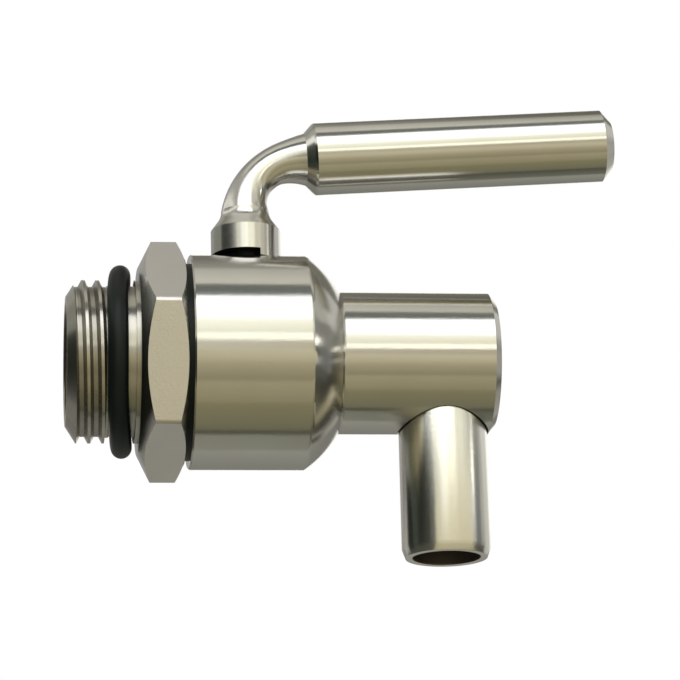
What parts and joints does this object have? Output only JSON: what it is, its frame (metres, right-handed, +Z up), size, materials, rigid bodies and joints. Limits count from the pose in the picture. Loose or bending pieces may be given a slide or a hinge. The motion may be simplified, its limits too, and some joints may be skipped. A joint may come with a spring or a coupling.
{
  "type": "drum tap",
  "caption": "Quarter-turn drum tap of turned stainless steel, with a male inlet thread and hexagon, a bent bar lever and a short drop spout.",
  "frame": {"origin": "on the flow axis, half way along the full thread of the inlet", "axes": "+X along the flow from the drum to the spout, +Z up the stem, so -Y faces a viewer who sees the spout on the right"},
  "size_m": [0.0724, 0.03, 0.0605],
  "materials": {
    "stainless_turned": "turned and polished stainless steel",
    "stainless_lever": "turned, bent and polished stainless steel",
    "stainless_connector": "machined stainless steel with satin flats",
    "stainless_tube": "linished stainless steel tube",
    "stainless_polished": "polished ball",
    "rubber_black": "moulded nitrile rubber",
    "ptfe_white": "machined white fluoropolymer"
  },
  "bodies": {
    "housing": {"body": "stainless_turned", "spout_tube": "stainless_tube", "inlet_connector": "stainless_connector", "inlet_o_ring": "rubber_black", "joint_ring": "rubber_black", "inlet_seat_ring": "ptfe_white", "outlet_seat_ring": "ptfe_white", "stem_thrust_washer": "ptfe_white", "stop_pin": "stainless_turned"},
    "turning": {"lever": "stainless_lever", "hub_grub_screw": "stainless_turned", "stem": "stainless_turned", "stem_o_ring_lower": "rubber_black", "stem_o_ring_upper": "rubber_black", "ball": "stainless_polished"}
  },
  "joints": [
    {"name": "lever_turn", "type": "hinge", "parent": "housing", "child": "turning", "pos_m": [0.0203, 0, 0], "axis": [0, 0, 1], "range_deg": [-90, 0]}
  ]
}
